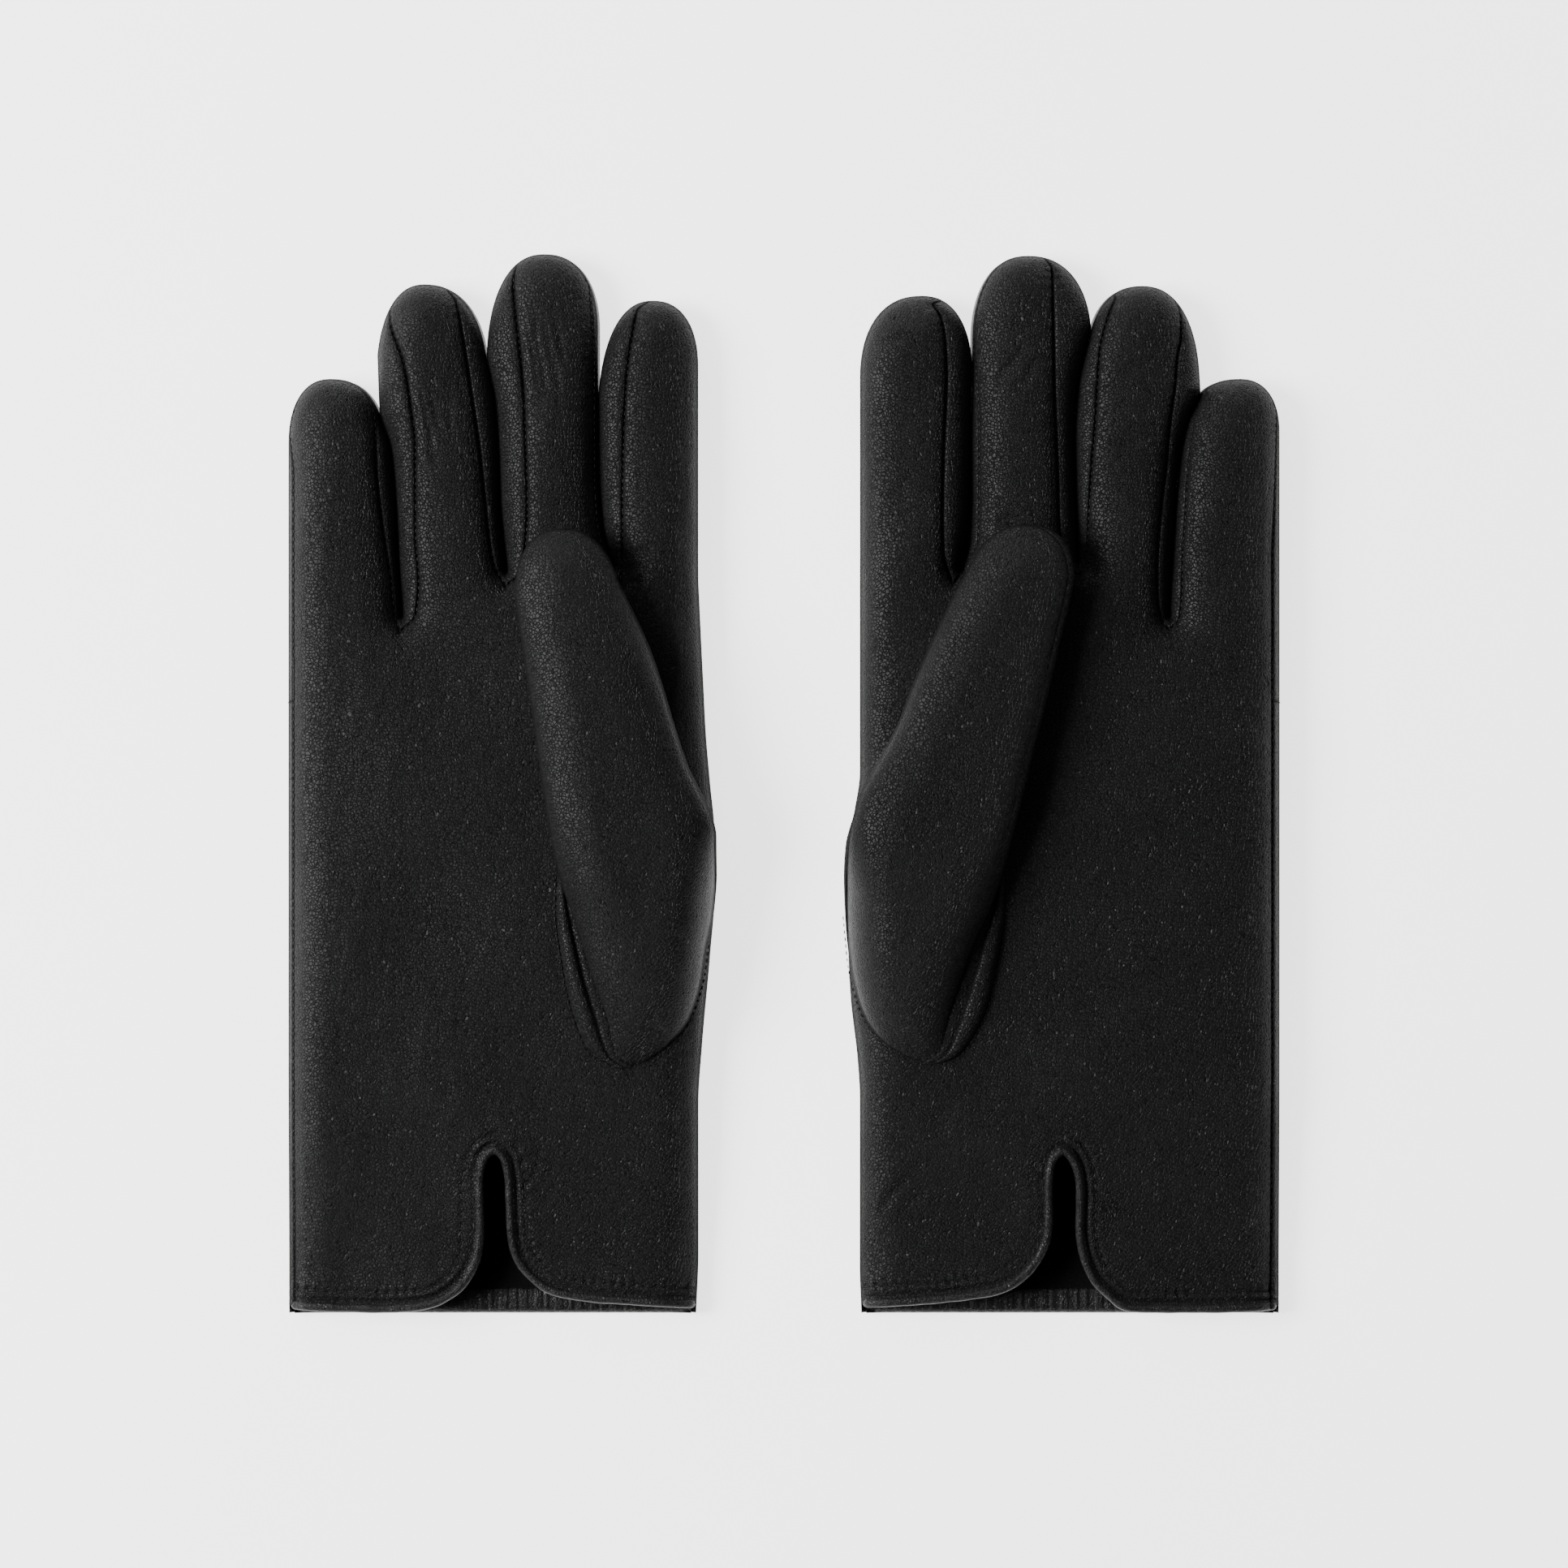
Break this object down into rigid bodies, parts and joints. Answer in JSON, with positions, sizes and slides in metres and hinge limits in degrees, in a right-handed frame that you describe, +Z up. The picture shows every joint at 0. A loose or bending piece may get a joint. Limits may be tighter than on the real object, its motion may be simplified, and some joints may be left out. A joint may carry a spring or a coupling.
{
  "type": "pair of leather dress gloves",
  "caption": "Pair of soft black leather dress gloves lying flat, palms up, with set-in thumbs, a bound palm vent at each cuff, a knitted lining and fingers that bend.",
  "frame": {"origin": "middle of the pair's footprint, on the surface that the gloves lie on", "axes": "+X towards the left-hand glove, +Y towards the fingertips, +Z up out of the palms"},
  "size_m": [0.2432, 0.26, 0.0284],
  "materials": {
    "glove_leather": "fine-grain black nappa leather, soft sheen",
    "fourchette_leather": "thin black nappa leather strips between the fingers",
    "binding_leather": "rolled black leather binding",
    "knit_lining": "dark brushed knit lining"
  },
  "bodies": {
    "right_hand": {"right_palm_panel": "glove_leather", "right_back_panel": "glove_leather", "right_index_middle_fourchette": "fourchette_leather", "right_middle_ring_fourchette": "fourchette_leather", "right_ring_little_fourchette": "fourchette_leather", "right_hem_binding": "binding_leather", "right_palm_lining": "knit_lining", "right_thumb_base": "glove_leather"},
    "right_index_mid": {"right_index_mid_panel": "glove_leather", "right_index_mid_fourchette": "fourchette_leather", "right_index_mid_lining": "knit_lining"},
    "right_index_tip": {"right_index_tip_leather": "glove_leather", "right_index_tip_lining": "knit_lining"},
    "right_middle_mid": {"right_middle_mid_panel": "glove_leather", "right_middle_mid_fourchette": "fourchette_leather", "right_middle_mid_lining": "knit_lining"},
    "right_middle_tip": {"right_middle_tip_leather": "glove_leather", "right_middle_tip_lining": "knit_lining"},
    "right_ring_mid": {"right_ring_mid_panel": "glove_leather", "right_ring_mid_fourchette": "fourchette_leather", "right_ring_mid_lining": "knit_lining"},
    "right_ring_tip": {"right_ring_tip_leather": "glove_leather", "right_ring_tip_lining": "knit_lining"},
    "right_little_mid": {"right_little_mid_panel": "glove_leather", "right_little_mid_fourchette": "fourchette_leather", "right_little_mid_lining": "knit_lining"},
    "right_little_tip": {"right_little_tip_leather": "glove_leather", "right_little_tip_lining": "knit_lining"},
    "right_thumb": {"right_thumb_leather": "glove_leather", "right_thumb_lining": "knit_lining"},
    "left_hand": {"left_palm_panel": "glove_leather", "left_back_panel": "glove_leather", "left_index_middle_fourchette": "fourchette_leather", "left_middle_ring_fourchette": "fourchette_leather", "left_ring_little_fourchette": "fourchette_leather", "left_hem_binding": "binding_leather", "left_palm_lining": "knit_lining", "left_thumb_base": "glove_leather"},
    "left_index_mid": {"left_index_mid_panel": "glove_leather", "left_index_mid_fourchette": "fourchette_leather", "left_index_mid_lining": "knit_lining"},
    "left_index_tip": {"left_index_tip_leather": "glove_leather", "left_index_tip_lining": "knit_lining"},
    "left_middle_mid": {"left_middle_mid_panel": "glove_leather", "left_middle_mid_fourchette": "fourchette_leather", "left_middle_mid_lining": "knit_lining"},
    "left_middle_tip": {"left_middle_tip_leather": "glove_leather", "left_middle_tip_lining": "knit_lining"},
    "left_ring_mid": {"left_ring_mid_panel": "glove_leather", "left_ring_mid_fourchette": "fourchette_leather", "left_ring_mid_lining": "knit_lining"},
    "left_ring_tip": {"left_ring_tip_leather": "glove_leather", "left_ring_tip_lining": "knit_lining"},
    "left_little_mid": {"left_little_mid_panel": "glove_leather", "left_little_mid_fourchette": "fourchette_leather", "left_little_mid_lining": "knit_lining"},
    "left_little_tip": {"left_little_tip_leather": "glove_leather", "left_little_tip_lining": "knit_lining"},
    "left_thumb": {"left_thumb_leather": "glove_leather", "left_thumb_lining": "knit_lining"}
  },
  "joints": [
    {"name": "right_index_bend", "type": "hinge", "parent": "right_hand", "child": "right_index_mid", "pos_m": [-0.03141, 0.07579, 0.015], "axis": [0.9997, 0.0262, 0], "range_deg": [0, 90]},
    {"name": "right_index_tip_bend", "type": "hinge", "parent": "right_index_mid", "child": "right_index_tip", "pos_m": [-0.03198, 0.09778, 0.015], "axis": [0.9997, 0.0262, 0], "range_deg": [0, 60]},
    {"name": "right_middle_bend", "type": "hinge", "parent": "right_hand", "child": "right_middle_mid", "pos_m": [-0.05623, 0.0797, 0.015], "axis": [0.9969, 0.0785, 0], "range_deg": [0, 90]},
    {"name": "right_middle_tip_bend", "type": "hinge", "parent": "right_middle_mid", "child": "right_middle_tip", "pos_m": [-0.05819, 0.10463, 0.015], "axis": [0.9969, 0.0785, 0], "range_deg": [0, 60]},
    {"name": "right_ring_bend", "type": "hinge", "parent": "right_hand", "child": "right_ring_mid", "pos_m": [-0.08407, 0.07687, 0.015], "axis": [0.9957, 0.0924, 0], "range_deg": [0, 90]},
    {"name": "right_ring_tip_bend", "type": "hinge", "parent": "right_ring_mid", "child": "right_ring_tip", "pos_m": [-0.0862, 0.09977, 0.015], "axis": [0.9957, 0.0924, 0], "range_deg": [0, 60]},
    {"name": "right_little_bend", "type": "hinge", "parent": "right_hand", "child": "right_little_mid", "pos_m": [-0.10885, 0.06098, 0.015], "axis": [0.999, 0.0436, 0], "range_deg": [0, 90]},
    {"name": "right_little_tip_bend", "type": "hinge", "parent": "right_little_mid", "child": "right_little_tip", "pos_m": [-0.10963, 0.07896, 0.015], "axis": [0.999, 0.0436, 0], "range_deg": [0, 60]},
    {"name": "right_thumb_lift", "type": "hinge", "parent": "right_hand", "child": "right_thumb", "pos_m": [-0.0364, -0.015, 0.0284], "axis": [0.9781, 0.2079, 0], "range_deg": [0, 70]},
    {"name": "left_index_bend", "type": "hinge", "parent": "left_hand", "child": "left_index_mid", "pos_m": [0.03135, 0.07595, 0.015], "axis": [0.9983, -0.0576, 0], "range_deg": [0, 90]},
    {"name": "left_index_tip_bend", "type": "hinge", "parent": "left_index_mid", "child": "left_index_tip", "pos_m": [0.03262, 0.09792, 0.015], "axis": [0.9983, -0.0576, 0], "range_deg": [0, 60]},
    {"name": "left_middle_bend", "type": "hinge", "parent": "left_hand", "child": "left_middle_mid", "pos_m": [0.05761, 0.07997, 0.015], "axis": [0.999, -0.0454, 0], "range_deg": [0, 90]},
    {"name": "left_middle_tip_bend", "type": "hinge", "parent": "left_middle_mid", "child": "left_middle_tip", "pos_m": [0.05874, 0.10494, 0.015], "axis": [0.999, -0.0454, 0], "range_deg": [0, 60]},
    {"name": "left_ring_bend", "type": "hinge", "parent": "left_hand", "child": "left_ring_mid", "pos_m": [0.08547, 0.07795, 0.015], "axis": [0.9984, -0.0558, 0], "range_deg": [0, 90]},
    {"name": "left_ring_tip_bend", "type": "hinge", "parent": "left_ring_mid", "child": "left_ring_tip", "pos_m": [0.08676, 0.10092, 0.015], "axis": [0.9984, -0.0558, 0], "range_deg": [0, 60]},
    {"name": "left_little_bend", "type": "hinge", "parent": "left_hand", "child": "left_little_mid", "pos_m": [0.10925, 0.06198, 0.015], "axis": [0.999, -0.0436, 0], "range_deg": [0, 90]},
    {"name": "left_little_tip_bend", "type": "hinge", "parent": "left_little_mid", "child": "left_little_tip", "pos_m": [0.11003, 0.07996, 0.015], "axis": [0.999, -0.0436, 0], "range_deg": [0, 60]},
    {"name": "left_thumb_lift", "type": "hinge", "parent": "left_hand", "child": "left_thumb", "pos_m": [0.0352, -0.015, 0.0284], "axis": [0.9588, -0.284, 0], "range_deg": [0, 70]},
    {"name": "left_glove_lift", "type": "slide", "parent": "right_hand", "child": "left_hand", "axis": [0, 0, 1], "range_m": [0, 0.12]}
  ],
  "couplings": [
    {"joint": "right_index_tip_bend", "follows": "right_index_bend", "ratio": 0.66},
    {"joint": "right_middle_tip_bend", "follows": "right_middle_bend", "ratio": 0.66},
    {"joint": "right_ring_tip_bend", "follows": "right_ring_bend", "ratio": 0.66},
    {"joint": "right_little_tip_bend", "follows": "right_little_bend", "ratio": 0.66},
    {"joint": "left_index_tip_bend", "follows": "left_index_bend", "ratio": 0.66},
    {"joint": "left_middle_tip_bend", "follows": "left_middle_bend", "ratio": 0.66},
    {"joint": "left_ring_tip_bend", "follows": "left_ring_bend", "ratio": 0.66},
    {"joint": "left_little_tip_bend", "follows": "left_little_bend", "ratio": 0.66}
  ]
}
